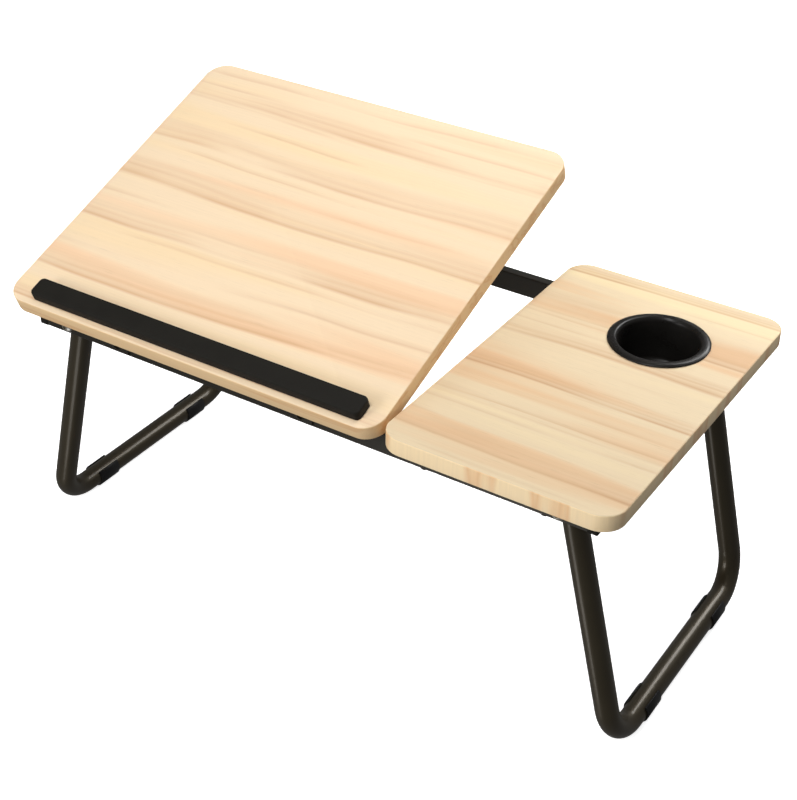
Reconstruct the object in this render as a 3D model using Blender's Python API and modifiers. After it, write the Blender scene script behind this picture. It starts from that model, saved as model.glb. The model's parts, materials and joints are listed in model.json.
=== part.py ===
"""Folding tray table: a tilting reading board and a fixed side board on a steel frame, with folding U legs.

Metres, +Z up. The origin is on the floor, under the middle of the table. The user sits on the -Y side.
"""

import math

import bmesh
import bpy
from mathutils import Matrix, Vector

GAP = 0.0003                    # the gap that neighbouring pieces keep

# Boards
WIDTH = 0.600                   # over both boards
DEPTH = 0.338
READING_SETBACK = 0.004         # the reading board's front edge stands back behind the side board's
BOARD = 0.015                   # board thickness
CORNER_RADIUS = 0.020
SPLIT_X = 0.094                 # middle of the gap between the two boards
SPLIT_GAP = 0.003

# Legs: bent round tube, hinged on the rails and splayed outwards
LEG_RADIUS = 0.010
LEG_WALL = 0.0012
LEG_Y = 0.1265                  # half distance between the two uprights
LEG_BEND = 0.035                # radius of the tube's centre line in the bends
LEG_LENGTH = 0.2333             # pivot to the centre line of the bottom run
LEG_TOP = 0.0045                # tube above the pivot
LEG_SPLAY = math.radians(13.9)
PIVOT_X = 0.2455
PIVOT_DROP = 0.028              # pivot below the table top
BOLT_RADIUS = 0.003

# Open rubber sleeves clipped under the bottom runs, each with a flat sole
SLEEVE_RADIUS = 0.0115
SLEEVE_LENGTH = 0.026
SLEEVE_Y = 0.069
SOLE_DROP = 0.011               # sole below the tube's centre line

# Frame
RAIL_WIDTH = 0.010
RAIL_HEIGHT = 0.020
RAIL_WALL = 0.0015
RAIL_Y = 0.143
RAIL_HALF_LENGTH = 0.270
PLUG_LENGTH = 0.008
STOP_BAR_RADIUS = 0.005

# Tilt hinge, on the reading board's front edge
TILT = math.radians(20.5)
TILT_MOST = math.radians(35.0)
HINGE_SETBACK = 0.015           # axis behind the side board's front edge
HINGE_DROP = 0.0085             # axis below the board's top
HINGE_XS = {"left": -0.185, "right": 0.010}
HINGE_PIN_RADIUS = 0.002
EAR = 0.0025                    # thickness of the steel ear

# Prop under the reading board. Its two arms are as long as the way from the tilt axis to their own pivot,
# so the foot rod runs in a straight slot that points at the tilt axis, and the arms turn twice as far as
# the board, the other way.
PROP_REACH = 0.125              # pivot behind the tilt axis
PROP_FALL = 0.012               # pivot below the tilt axis, with the board flat
ARM_WIDTH = 0.009
ARM = 0.003                     # arm thickness
FOOT_ROD_RADIUS = 0.003
PIVOT_ROD_RADIUS = 0.0025
TRACK_X = {"left": -0.190, "right": -0.070}
TRACK = 0.002                   # thickness of the slotted angles
TRACK_FLANGE = 0.020
KNOB_RADIUS = 0.010
KNOB_LENGTH = 0.014

# Book ledge
LEDGE_X = (-0.271, 0.075)
LEDGE_WIDTH = 0.0195
LEDGE_HEIGHT = 0.009
LEDGE_SETBACK = 0.006
LEDGE_SCREW_XS = (-0.250, -0.098, 0.055)

# Cup holder in the side board
CUP_X = 0.219
CUP_Y = 0.079
CUP_FLANGE_RADIUS = 0.044
CUP_MOUTH_RADIUS = 0.035
CUP_BODY_RADIUS = 0.0366
CUP_HOLE_RADIUS = 0.0372
CUP_DEPTH = 0.042
SIDE_SCREW_XS = (0.125, 0.232)

# Heights and axes worked out from the sizes above
TOP = PIVOT_DROP + LEG_LENGTH * math.cos(LEG_SPLAY) + SOLE_DROP
UNDERSIDE = TOP - BOARD
RAIL_TOP = UNDERSIDE - GAP
FRONT = -DEPTH / 2
READING_FRONT = FRONT + READING_SETBACK
HINGE_Y = FRONT + HINGE_SETBACK
HINGE_Z = TOP - HINGE_DROP
PIVOT_Z = TOP - PIVOT_DROP
TILT_BOARD_X = (-WIDTH / 2, SPLIT_X - SPLIT_GAP / 2)
SIDE_BOARD_X = (SPLIT_X + SPLIT_GAP / 2, WIDTH / 2)

ALONG_X = (0.0, math.pi / 2, 0.0)      # turns an object's own +Z to +X
ALONG_Y = (-math.pi / 2, 0.0, 0.0)     # turns it to +Y
AGAINST_Y = (math.pi / 2, 0.0, 0.0)    # turns it to -Y
SIDES = {"left": -1, "right": 1}
ENDS = {"front": -1, "rear": 1}


def collection(name):
    made = bpy.data.collections.new(name)
    bpy.context.scene.collection.children.link(made)
    return made


def finish(name, colour, roughness, metallic=0.0):
    made = bpy.data.materials.new(name)
    made.use_nodes = True
    shader = made.node_tree.nodes["Principled BSDF"]
    shader.inputs["Base Color"].default_value = (*colour, 1.0)
    shader.inputs["Roughness"].default_value = roughness
    shader.inputs["Metallic"].default_value = metallic
    return made


def place(name, data, home, parent, location, rotation):
    """An object at its place on its parent."""
    made = bpy.data.objects.new(name, data)
    home.objects.link(made)
    made.parent = parent
    made.location = location
    made.rotation_euler = rotation
    return made


def put(name, data, look, parent=None, location=(0, 0, 0), rotation=(0, 0, 0)):
    """A named part of the table."""
    made = place(name, data, PARTS, parent, location, rotation)
    if look.name not in data.materials:
        data.materials.append(look)
    return made


def helper(name, data, parent=None, location=(0, 0, 0), rotation=(0, 0, 0)):
    """A cutter, or a shape that is joined onto a part. It isn't rendered."""
    made = place(name, data, HELPERS, parent, location, rotation)
    made.hide_render = True
    made.display_type = "WIRE"
    return made


def combine(part, operation, *others):
    for other in others:
        modifier = part.modifiers.new(other.name, "BOOLEAN")
        modifier.operation = operation
        modifier.solver = "EXACT"
        modifier.object = other


def axis_empty(name, location, rotation, parent=None):
    """The axis that a group of parts turns about."""
    made = place(name, None, PARTS, parent, location, rotation)
    made.empty_display_size = 0.02
    return made


def edges_along(body, axis):
    def points_along(edge):
        run = edge.verts[1].co - edge.verts[0].co
        return abs(run.normalized()[axis]) > 0.99

    return [edge for edge in body.edges if points_along(edge)]


def box(name, low, high, rounded_axis=None, radius=0.0, segments=6):
    """A box between two corners. The edges along one axis can be rounded."""
    size = Vector(high) - Vector(low)
    body = bmesh.new()
    middle = Matrix.Translation((Vector(low) + Vector(high)) / 2)
    bmesh.ops.create_cube(body, size=1.0, matrix=middle @ Matrix.Diagonal((*size, 1.0)))
    if rounded_axis is not None:
        bmesh.ops.bevel(body, geom=edges_along(body, rounded_axis), offset=radius, segments=segments,
                        profile=0.5, affect="EDGES")
    mesh = bpy.data.meshes.new(name)
    body.to_mesh(mesh)
    body.free()
    return mesh


def rod(name, radius, length, sides=16):
    """A cylinder along its own Z, centred on its origin."""
    body = bmesh.new()
    bmesh.ops.create_cone(body, cap_ends=True, segments=sides, radius1=radius, radius2=radius, depth=length)
    mesh = bpy.data.meshes.new(name)
    body.to_mesh(mesh)
    body.free()
    mesh.shade_smooth()
    mesh.set_sharp_from_angle(angle=math.radians(35))
    return mesh


def turn(part, sides):
    """Turns a profile about the object's own Z."""
    modifier = part.modifiers.new("turn", "SCREW")
    modifier.steps = modifier.render_steps = sides
    modifier.use_merge_vertices = True
    modifier.merge_threshold = 0.00001
    return part


def profile(name, points):
    """Half a cross-section as (radius, height), down the outer side. Off the axis it is a closed ring."""
    links = [(i, i + 1) for i in range(len(points) - 1)]
    if points[0][0] > 0:
        links.append((len(points) - 1, 0))
    mesh = bpy.data.meshes.new(name)
    mesh.from_pydata([(radius, 0.0, height) for radius, height in points], links, [])
    return mesh


def ring_profile(name, inner, outer, length):
    """A plain ring, centred on its origin."""
    half = length / 2
    return profile(name, [(inner, half), (outer, half), (outer, -half), (inner, -half)])


def circle(radius, count, centre=(0.0, 0.0)):
    steps = [math.tau * i / count for i in range(count)]
    return [(centre[0] + radius * math.cos(a), centre[1] + radius * math.sin(a)) for a in steps]


def plate(name, thickness, outline, *holes):
    """A flat plate with holes, centred on its own XY plane."""
    curve = bpy.data.curves.new(name, "CURVE")
    curve.dimensions = "2D"
    curve.fill_mode = "BOTH"
    curve.extrude = thickness / 2
    for points in (outline, *holes):
        spline = curve.splines.new("POLY")
        spline.points.add(len(points) - 1)
        for point, (x, y) in zip(spline.points, points):
            point.co = (x, y, 0.0, 1.0)
        spline.use_cyclic_u = True
    return curve


def as_mesh(name, curve):
    """The mesh of a curve, with its loose caps welded on."""
    shown = bpy.data.objects.new(name, curve)
    HELPERS.objects.link(shown)
    graph = bpy.context.evaluated_depsgraph_get()
    mesh = bpy.data.meshes.new_from_object(shown.evaluated_get(graph))
    bpy.data.objects.remove(shown, do_unlink=True)
    body = bmesh.new()
    body.from_mesh(mesh)
    bmesh.ops.remove_doubles(body, verts=body.verts, dist=0.00001)
    body.to_mesh(mesh)
    body.free()
    mesh.name = name
    return mesh


def screw_profile(name, head_radius, head_height, shank_radius, length):
    """A pan-head screw. Its shank runs along +Z from the underside of the head."""
    return profile(name, [
        (0.0, length), (shank_radius, length), (shank_radius, 0.0), (head_radius, 0.0),
        (head_radius, -0.5 * head_height), (0.6 * head_radius, -head_height), (0.0, -head_height),
    ])


def board(name, x_range, front, origin=(0.0, 0.0, 0.0)):
    """A board with rounded corners, lying flat, measured from the origin given."""
    low = Vector((x_range[0], front, UNDERSIDE)) - Vector(origin)
    high = Vector((x_range[1], -FRONT, TOP)) - Vector(origin)
    return box(name, low, high, rounded_axis=2, radius=CORNER_RADIUS)


# ------------------------------------------------------------------ side board and cup holder

def side_board():
    part = put("side_board", board("side_board", SIDE_BOARD_X, FRONT), WOOD)
    hole = rod("cup_hole", CUP_HOLE_RADIUS, 2 * BOARD, sides=40)
    combine(part, "DIFFERENCE", helper("cup_hole", hole, location=(CUP_X, CUP_Y, TOP - BOARD / 2)))
    return part


def side_board_screws(part, rails):
    """Four screws come up through the rails into the side board."""
    shank, reach = 0.002, RAIL_HEIGHT + 0.010
    head_z = RAIL_TOP - RAIL_HEIGHT - GAP
    shape = screw_profile("side_board_screw", 0.0038, 0.0024, shank, reach)
    bore = rod("side_board_screw_bore", shank + GAP, reach + 2 * GAP)
    number = 0
    for end, sign in ENDS.items():
        for x in SIDE_SCREW_XS:
            number += 1
            y = sign * RAIL_Y
            turn(put(f"side_board_screw_{number}", shape, ZINC, location=(x, y, head_z)), 12)
            cutter = helper(f"side_screw_bore_{number}", bore, location=(x, y, head_z + reach / 2))
            combine(part, "DIFFERENCE", cutter)
            combine(rails[end], "DIFFERENCE", cutter)


def cup_holder():
    flange_bottom, flange_top = GAP, 0.0026
    wall = CUP_BODY_RADIUS - CUP_MOUTH_RADIUS
    floor = 0.0018
    points = [
        (0.0, floor - CUP_DEPTH), (0.0310, floor - CUP_DEPTH), (0.0335, 0.0045 - CUP_DEPTH),
        (CUP_MOUTH_RADIUS - 0.0008, -0.004), (CUP_MOUTH_RADIUS, 0.0), (CUP_MOUTH_RADIUS + 0.0016, 0.0020),
        (CUP_MOUTH_RADIUS + 0.0035, flange_top), (CUP_FLANGE_RADIUS - 0.0030, flange_top - 0.0003),
        (CUP_FLANGE_RADIUS, flange_bottom + 0.0008), (CUP_FLANGE_RADIUS, flange_bottom),
        (CUP_BODY_RADIUS, flange_bottom), (CUP_BODY_RADIUS - 0.0004, -0.025),
        (0.0335 + wall, 0.0035 - CUP_DEPTH), (0.0315, -CUP_DEPTH), (0.0, -CUP_DEPTH),
    ]
    turn(put("cup_insert", profile("cup_insert", points), PLASTIC, location=(CUP_X, CUP_Y, TOP)), 40)
    ring = ring_profile("cup_ring", CUP_BODY_RADIUS + GAP, 0.0405, 0.0023)
    turn(put("cup_ring", ring, PLASTIC, location=(CUP_X, CUP_Y, UNDERSIDE - GAP - 0.00115)), 40)


# ------------------------------------------------------------------ frame

def rail(end, sign):
    """A rectangular tube along X, open at both ends, bored for the two leg pivots."""
    half = (RAIL_HALF_LENGTH, RAIL_WIDTH / 2, RAIL_HEIGHT / 2)
    centre = (0.0, sign * RAIL_Y, RAIL_TOP - RAIL_HEIGHT / 2)
    outer = box(f"{end}_rail", [-h for h in half], half, rounded_axis=0, radius=0.0012, segments=2)
    part = put(f"{end}_rail", outer, BLACK_STEEL, location=centre)
    inside = (half[0] + 0.01, half[1] - RAIL_WALL, half[2] - RAIL_WALL)
    bore = box(f"{end}_rail_inside", [-h for h in inside], inside)
    combine(part, "DIFFERENCE", helper(f"{end}_rail_inside", bore, location=centre))
    for side, x_sign in SIDES.items():
        name = f"{end}_rail_pivot_{side}"
        hole = rod(name, BOLT_RADIUS + GAP, 2 * RAIL_WIDTH)
        where = (x_sign * PIVOT_X, sign * RAIL_Y, PIVOT_Z)
        combine(part, "DIFFERENCE", helper(name, hole, location=where, rotation=ALONG_Y))
    return part


def rail_plugs():
    """Plastic plugs close the rails' four ends."""
    stem = 0.012
    for end, sign in ENDS.items():
        for side, x_sign in SIDES.items():
            name = f"rail_plug_{end}_{side}"
            start = x_sign * (RAIL_HALF_LENGTH + GAP)
            tip = start + x_sign * PLUG_LENGTH
            cap_low = (min(start, tip), -0.0055, -RAIL_HEIGHT - 0.0005)
            cap_high = (max(start, tip), 0.0055, 0.0)
            top = (0.0, sign * RAIL_Y, RAIL_TOP)
            part = put(name, box(name, cap_low, cap_high, rounded_axis=0, radius=0.0015, segments=2),
                       PLASTIC, location=top)
            inset = RAIL_WALL + GAP
            root = start + x_sign * 0.001
            end_x = start - x_sign * stem
            low = (min(root, end_x), inset - RAIL_WIDTH / 2, inset - RAIL_HEIGHT)
            high = (max(root, end_x), RAIL_WIDTH / 2 - inset, -inset)
            combine(part, "UNION", helper(f"{name}_stem", box(f"{name}_stem", low, high), location=top))


def stop_bars():
    """A round bar joins the rails at each end, and each leg rests against its bar when it is out."""
    drop = 0.002
    reach = LEG_RADIUS + STOP_BAR_RADIUS + GAP
    out = (reach + drop * math.sin(LEG_SPLAY)) / math.cos(LEG_SPLAY)
    length = 2 * (RAIL_Y - RAIL_WIDTH / 2 - GAP)
    for side, x_sign in SIDES.items():
        name = f"stop_bar_{side}"
        put(name, rod(name, STOP_BAR_RADIUS, length), BLACK_STEEL,
            location=(x_sign * (PIVOT_X + out), 0.0, PIVOT_Z - drop), rotation=ALONG_Y)


def foot_slot():
    """Where the prop's foot rod runs: (y, z) with the board flat, the same at the steepest, and the slope."""
    flat = Vector((2 * PROP_REACH, -2 * PROP_FALL))
    steep = flat * math.cos(TILT_MOST)
    axis = Vector((HINGE_Y, HINGE_Z))
    return axis + flat, axis + steep, math.atan2(-PROP_FALL, PROP_REACH)


def track_bars():
    """Two steel angles from rail to rail. The upright flange of each has a slot for the prop's foot rod."""
    flat, steep, slope = foot_slot()
    half_slot = FOOT_ROD_RADIUS + GAP
    margin = 0.0055
    half_length = RAIL_Y - RAIL_WIDTH / 2 - GAP
    web_y = (steep.x - half_slot - margin, flat.x + half_slot + margin)
    web_bottom = flat.y - half_slot - 0.004
    middle = (flat + steep) / 2
    run = (flat - steep).length / 2 + half_slot
    for side, away in SIDES.items():
        name = f"track_bar_{side}"
        x = TRACK_X[side]
        inner, outer = x - away * TRACK / 2, x + away * (TRACK_FLANGE - TRACK / 2)
        flange = box(name, (min(inner, outer), -half_length, RAIL_TOP - TRACK),
                     (max(inner, outer), half_length, RAIL_TOP))
        part = put(name, flange, BLACK_STEEL)
        web = box(f"{name}_web", (x - TRACK / 2, web_y[0], web_bottom),
                  (x + TRACK / 2, web_y[1], RAIL_TOP - TRACK / 2))
        combine(part, "UNION", helper(f"{name}_web", web))
        slot = box(f"{name}_slot", (-0.01, -run, -half_slot), (0.01, run, half_slot),
                   rounded_axis=0, radius=half_slot * 0.999)
        cutter = helper(f"{name}_slot", slot, location=(x, *middle), rotation=(slope, 0, 0))
        combine(part, "DIFFERENCE", cutter)


# ------------------------------------------------------------------ legs

def leg_path():
    """The U of a leg in its own frame: the pivots are on the Y axis and the leg hangs down -Z."""
    bend_steps = 8
    points = [(-LEG_Y, LEG_TOP), (-LEG_Y, -0.06)]
    for sign in (-1, 1):
        centre = (sign * (LEG_Y - LEG_BEND), LEG_BEND - LEG_LENGTH)
        for step in range(bend_steps + 1):
            turned = math.pi / 2 * step / bend_steps
            angle = math.pi + turned if sign < 0 else 1.5 * math.pi + turned
            points.append((centre[0] + LEG_BEND * math.cos(angle), centre[1] + LEG_BEND * math.sin(angle)))
    return points + [(LEG_Y, -0.06), (LEG_Y, LEG_TOP)]


def leg_tube(name):
    curve = bpy.data.curves.new(name, "CURVE")
    curve.dimensions = "3D"
    curve.bevel_depth = LEG_RADIUS
    curve.bevel_resolution = 7
    spline = curve.splines.new("POLY")
    path = leg_path()
    spline.points.add(len(path) - 1)
    for point, (y, z) in zip(spline.points, path):
        point.co = (0.0, y, z, 1.0)
    mesh = as_mesh(name, curve)
    mesh.shade_smooth()
    return mesh


def leg(side, x_sign):
    """One leg with its sleeves, and the bolts, nuts and washers it turns on."""
    axis = axis_empty(f"{side}_leg_axis", (x_sign * PIVOT_X, 0.0, PIVOT_Z), (0.0, -x_sign * LEG_SPLAY, 0.0))
    part = put(f"{side}_leg", leg_tube(f"{side}_leg"), BRONZE, parent=axis)
    wall = part.modifiers.new("wall", "SOLIDIFY")
    wall.thickness = LEG_WALL
    wall.offset = -1.0
    hole = rod(f"{side}_leg_bore", BOLT_RADIUS + GAP, 3 * LEG_Y)
    combine(part, "DIFFERENCE", helper(f"{side}_leg_bore", hole, parent=axis, rotation=ALONG_Y))
    bottom = Vector((x_sign * (PIVOT_X + LEG_LENGTH * math.sin(LEG_SPLAY)), 0.0, SOLE_DROP))
    for end, sign in ENDS.items():
        sleeve(f"foot_sleeve_{end}_{side}", bottom + Vector((0.0, sign * SLEEVE_Y, 0.0)))
        pivot_set(f"{end}_{side}", x_sign, sign)


def sleeve(name, centre):
    """A sleeve that clips on from below: the upper quarter of the tube stays bare."""
    ring = ring_profile(name, LEG_RADIUS + GAP, SLEEVE_RADIUS, SLEEVE_LENGTH)
    part = turn(put(name, ring, RUBBER, location=centre, rotation=ALONG_Y), 24)
    reach = SLEEVE_RADIUS + 0.005
    below = box(f"{name}_sole", (-reach, -SLEEVE_LENGTH, -reach), (reach, SLEEVE_LENGTH, -SOLE_DROP))
    above = box(f"{name}_opening", (0.0, -SLEEVE_LENGTH, 0.0), (reach, SLEEVE_LENGTH, reach))
    combine(part, "DIFFERENCE", helper(f"{name}_sole", below, location=centre),
            helper(f"{name}_opening", above, location=centre, rotation=(0.0, -math.pi / 4, 0.0)))


def pivot_set(label, x_sign, sign):
    """A bolt through the rail and the leg, with a nut inside the leg and a washer between leg and rail."""
    x, z = x_sign * PIVOT_X, PIVOT_Z
    rail_outside = RAIL_Y + RAIL_WIDTH / 2 + GAP
    nut_length = 0.005
    nut_outside = LEG_Y - LEG_RADIUS - GAP
    shank = rail_outside - (nut_outside - nut_length) + 0.0015
    inwards = ALONG_Y if sign < 0 else AGAINST_Y
    bolt = screw_profile(f"pivot_bolt_{label}", 0.0058, 0.0035, BOLT_RADIUS, shank)
    turn(put(f"pivot_bolt_{label}", bolt, ZINC, location=(x, sign * rail_outside, z), rotation=inwards), 16)
    nut = plate(f"pivot_nut_{label}", nut_length, circle(0.0057, 6), circle(BOLT_RADIUS + GAP, 16))
    y = sign * (nut_outside - nut_length / 2)
    put(f"pivot_nut_{label}", nut, ZINC, location=(x, y, z), rotation=AGAINST_Y)
    inside, outside = LEG_Y + LEG_RADIUS + GAP, RAIL_Y - RAIL_WIDTH / 2 - GAP
    washer = ring_profile(f"pivot_washer_{label}", BOLT_RADIUS + GAP, 0.008, outside - inside)
    y = sign * (inside + outside) / 2
    turn(put(f"pivot_washer_{label}", washer, NYLON, location=(x, y, z), rotation=ALONG_Y), 20)


# ------------------------------------------------------------------ reading board

def from_hinge(y, z):
    """A place on the flat board, given in the table's frame, measured from the tilt axis."""
    return y - HINGE_Y, z - HINGE_Z


def tilt_board(axis):
    flat = board("tilt_board", TILT_BOARD_X, READING_FRONT, origin=(0.0, HINGE_Y, HINGE_Z))
    return put("tilt_board", flat, WOOD, parent=axis)


def book_ledge(axis, board_part):
    """A bar that keeps a book from sliding off, held by screws from under the board."""
    y_low, z_low = from_hinge(READING_FRONT + LEDGE_SETBACK, TOP + GAP)
    low = Vector((LEDGE_X[0], y_low, z_low))
    high = Vector((LEDGE_X[1], y_low + LEDGE_WIDTH, z_low + LEDGE_HEIGHT))
    mesh = box("book_ledge", low, high, rounded_axis=2, radius=0.003, segments=3)
    part = put("book_ledge", mesh, PLASTIC, parent=axis)
    body = bmesh.new()
    body.from_mesh(mesh)
    rim = [edge for edge in body.edges if all(abs(vert.co.z - high.z) < 1e-6 for vert in edge.verts)]
    bmesh.ops.bevel(body, geom=rim, offset=0.0022, segments=2, profile=0.5, affect="EDGES")
    body.to_mesh(mesh)
    body.free()
    shank, head_radius, recess = 0.0016, 0.0034, 0.0026
    _, underside = from_hinge(0.0, UNDERSIDE)
    seat = underside + recess
    length = BOARD - recess + 0.005
    shape = screw_profile("ledge_screw", head_radius, 0.0022, shank, length)
    y = y_low + LEDGE_WIDTH / 2
    for number, x in enumerate(LEDGE_SCREW_XS, 1):
        turn(put(f"ledge_screw_{number}", shape, ZINC, parent=axis, location=(x, y, seat - GAP)), 12)
        drill = rod("ledge_screw_bore", shank + GAP, length + 2 * GAP)
        shank_bore = helper(f"ledge_screw_bore_{number}", drill, parent=axis,
                            location=(x, y, seat + length / 2))
        counterbore = rod("ledge_screw_seat", head_radius + GAP, 2 * recess)
        head_bore = helper(f"ledge_screw_seat_{number}", counterbore, parent=axis,
                           location=(x, y, underside))
        combine(board_part, "DIFFERENCE", shank_bore, head_bore)
        combine(part, "DIFFERENCE", shank_bore)


def ear_outline():
    """The ear in the YZ plane, measured from the tilt axis: a round eye on a neck that rises off the rail."""
    eye, neck = 0.0035, 0.0025
    start = -math.asin(math.sqrt(1 - (neck / eye) ** 2))
    sweep = math.pi - 2 * start
    steps = 12
    angles = [start + sweep * i / steps for i in range(steps + 1)]
    head = [(eye * math.cos(a), eye * math.sin(a)) for a in angles]
    foot_y = -RAIL_Y - RAIL_WIDTH / 2 - GAP - 0.0005 - HINGE_Y
    return head + [(-neck, -0.016), (0.002, -0.021), (foot_y, -0.021), (foot_y, -0.012), (neck, -0.0105)]


def hinge(axis, side, x, board_part):
    """A nylon block in the board turns about a pin in a steel ear that stands on the front rail."""
    face = -RAIL_Y - RAIL_WIDTH / 2 - GAP
    plate_low = (x - 0.011, face - 0.0015, RAIL_TOP - RAIL_HEIGHT + 0.002)
    plate_high = (x + 0.011, face, RAIL_TOP - 0.002)
    ear = put(f"hinge_ear_{side}", box(f"hinge_ear_{side}", plate_low, plate_high), BLACK_STEEL)
    name = f"hinge_ear_{side}_neck"
    hole = circle(HINGE_PIN_RADIUS + GAP, 16)
    neck = as_mesh(name, plate(name, EAR, ear_outline(), hole))
    upright = Matrix(((0, 0, 1), (1, 0, 0), (0, 1, 0))).to_euler()     # its X to world Y, its Y to world Z
    combine(ear, "UNION", helper(name, neck, location=(x, HINGE_Y, HINGE_Z), rotation=upright))

    half, front, back, roof = 0.007, -0.008, 0.0077, 0.0055
    _, underside = from_hinge(0.0, UNDERSIDE)
    block = box(f"hinge_block_{side}", (x - half, front, underside), (x + half, back, roof))
    part = put(f"hinge_block_{side}", block, NYLON, parent=axis)
    slot_half = EAR / 2 + GAP
    slot = box(f"hinge_block_{side}_slot", (x - slot_half, 2 * front, 2 * underside),
               (x + slot_half, 2 * back, 0.0041))
    bore = helper(f"hinge_block_{side}_bore", rod("hinge_bore", HINGE_PIN_RADIUS + GAP, 4 * half),
                  parent=axis, location=(x, 0, 0), rotation=ALONG_X)
    combine(part, "DIFFERENCE", helper(f"hinge_block_{side}_slot", slot, parent=axis), bore)
    pin = rod(f"hinge_pin_{side}", HINGE_PIN_RADIUS, 2 * half - 2 * GAP)
    put(f"hinge_pin_{side}", pin, ZINC, parent=axis, location=(x, 0, 0), rotation=ALONG_X)
    pocket = box(f"hinge_pocket_{side}", (x - half - GAP, front - GAP, 2 * underside),
                 (x + half + GAP, back + GAP, roof + GAP))
    combine(board_part, "DIFFERENCE", helper(f"hinge_pocket_{side}", pocket, parent=axis))


# ------------------------------------------------------------------ prop

def prop_bracket(axis, side, inwards, board_part):
    """A steel angle under the board, with two screws, which holds the pivot rod beside the prop's arm."""
    steel = 0.0015
    arm_inside = TRACK_X[side] + inwards * (TRACK / 2 + GAP + ARM + 2 * GAP)
    _, underside = from_hinge(0.0, UNDERSIDE)
    name = f"prop_bracket_{side}"
    top = underside - GAP
    ends = (arm_inside, arm_inside + inwards * 0.021)
    base = box(name, (min(ends), PROP_REACH - 0.009, top - steel), (max(ends), PROP_REACH + 0.009, top))
    part = put(name, base, ZINC, parent=axis)
    ears = (arm_inside, arm_inside + inwards * steel)
    ear = box(f"{name}_ear", (min(ears), PROP_REACH - 0.006, -PROP_FALL - 0.005),
              (max(ears), PROP_REACH + 0.006, top - steel / 2))
    combine(part, "UNION", helper(f"{name}_ear", ear, parent=axis))
    bore = helper(f"{name}_bore", rod("pivot_rod_bore", PIVOT_ROD_RADIUS + GAP, 0.02), parent=axis,
                  location=(arm_inside, PROP_REACH, -PROP_FALL), rotation=ALONG_X)
    combine(part, "DIFFERENCE", bore)
    shank, length = 0.0014, 0.010
    shape = screw_profile(f"{name}_screw", 0.0028, 0.0018, shank, length)
    x = arm_inside + inwards * 0.0135
    for number, offset in enumerate((-0.0052, 0.0052), 1):
        y, seat = PROP_REACH + offset, top - steel - GAP
        turn(put(f"{name}_screw_{number}", shape, ZINC, parent=axis, location=(x, y, seat)), 12)
        drill = rod("bracket_screw_bore", shank + GAP, length + 2 * GAP)
        cutter = helper(f"{name}_screw_bore_{number}", drill, parent=axis,
                        location=(x, y, seat + length / 2))
        combine(part, "DIFFERENCE", cutter)
        combine(board_part, "DIFFERENCE", cutter)


def prop(axis, board_part):
    """Two arms on a pivot rod, with a foot rod that a knob clamps to the slotted angles."""
    for side, away in SIDES.items():
        prop_bracket(axis, side, -away, board_part)
    arms_at = {side: TRACK_X[side] - away * (TRACK / 2 + GAP + ARM / 2) for side, away in SIDES.items()}
    middle = (arms_at["left"] + arms_at["right"]) / 2
    span = arms_at["right"] - arms_at["left"] + ARM
    pivot_rod = rod("prop_pivot_rod", PIVOT_ROD_RADIUS, span)
    put("prop_pivot_rod", pivot_rod, ZINC, parent=axis, location=(middle, PROP_REACH, -PROP_FALL),
        rotation=ALONG_X)

    prop_axis = axis_empty("prop_axis", (0.0, PROP_REACH, -PROP_FALL), (-2 * TILT, 0.0, 0.0), parent=axis)
    length = math.hypot(PROP_REACH, PROP_FALL)
    slope = math.atan2(-PROP_FALL, PROP_REACH)
    half = ARM_WIDTH / 2
    for side, x in arms_at.items():
        name = f"prop_arm_{side}"
        bar = box(name, (-ARM / 2, -half, -half), (ARM / 2, length + half, half), rounded_axis=0,
                  radius=half * 0.999)
        part = put(name, bar, BLACK_STEEL, parent=prop_axis, location=(x, 0, 0), rotation=(slope, 0, 0))
        pivot_bore = helper(f"{name}_pivot", rod("arm_pivot_bore", PIVOT_ROD_RADIUS + GAP, 4 * ARM),
                            parent=prop_axis, location=(x, 0, 0), rotation=ALONG_X)
        foot_bore = helper(f"{name}_foot", rod("arm_foot_bore", FOOT_ROD_RADIUS + GAP, 4 * ARM),
                           parent=prop_axis, location=(x, PROP_REACH, -PROP_FALL), rotation=ALONG_X)
        combine(part, "DIFFERENCE", pivot_bore, foot_bore)
    knob_inside = TRACK_X["left"] - TRACK / 2 - GAP
    nut_inside = TRACK_X["right"] + TRACK / 2 + GAP
    nut_length = 0.006
    rod_ends = (knob_inside - KNOB_LENGTH + 0.002, nut_inside + nut_length + 0.001)
    foot = {"parent": prop_axis, "rotation": ALONG_X}
    put("prop_foot_rod", rod("prop_foot_rod", FOOT_ROD_RADIUS, rod_ends[1] - rod_ends[0]), ZINC,
        location=(sum(rod_ends) / 2, PROP_REACH, -PROP_FALL), **foot)
    nut = plate("foot_rod_nut", nut_length, circle(0.0057, 6), circle(FOOT_ROD_RADIUS + GAP, 16))
    put("foot_rod_nut", nut, ZINC, location=(nut_inside + nut_length / 2, PROP_REACH, -PROP_FALL), **foot)
    knob = plate("clamp_knob", KNOB_LENGTH, knob_outline(), circle(FOOT_ROD_RADIUS + GAP, 16))
    put("clamp_knob", knob, PLASTIC, location=(knob_inside - KNOB_LENGTH / 2, PROP_REACH, -PROP_FALL), **foot)


def knob_outline():
    """Five rounded lobes."""
    lobes, count = 5, 40
    points = []
    for step in range(count):
        angle = math.tau * step / count
        radius = KNOB_RADIUS * (0.92 + 0.08 * math.cos(lobes * angle))
        points.append((radius * math.cos(angle), radius * math.sin(angle)))
    return points


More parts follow.
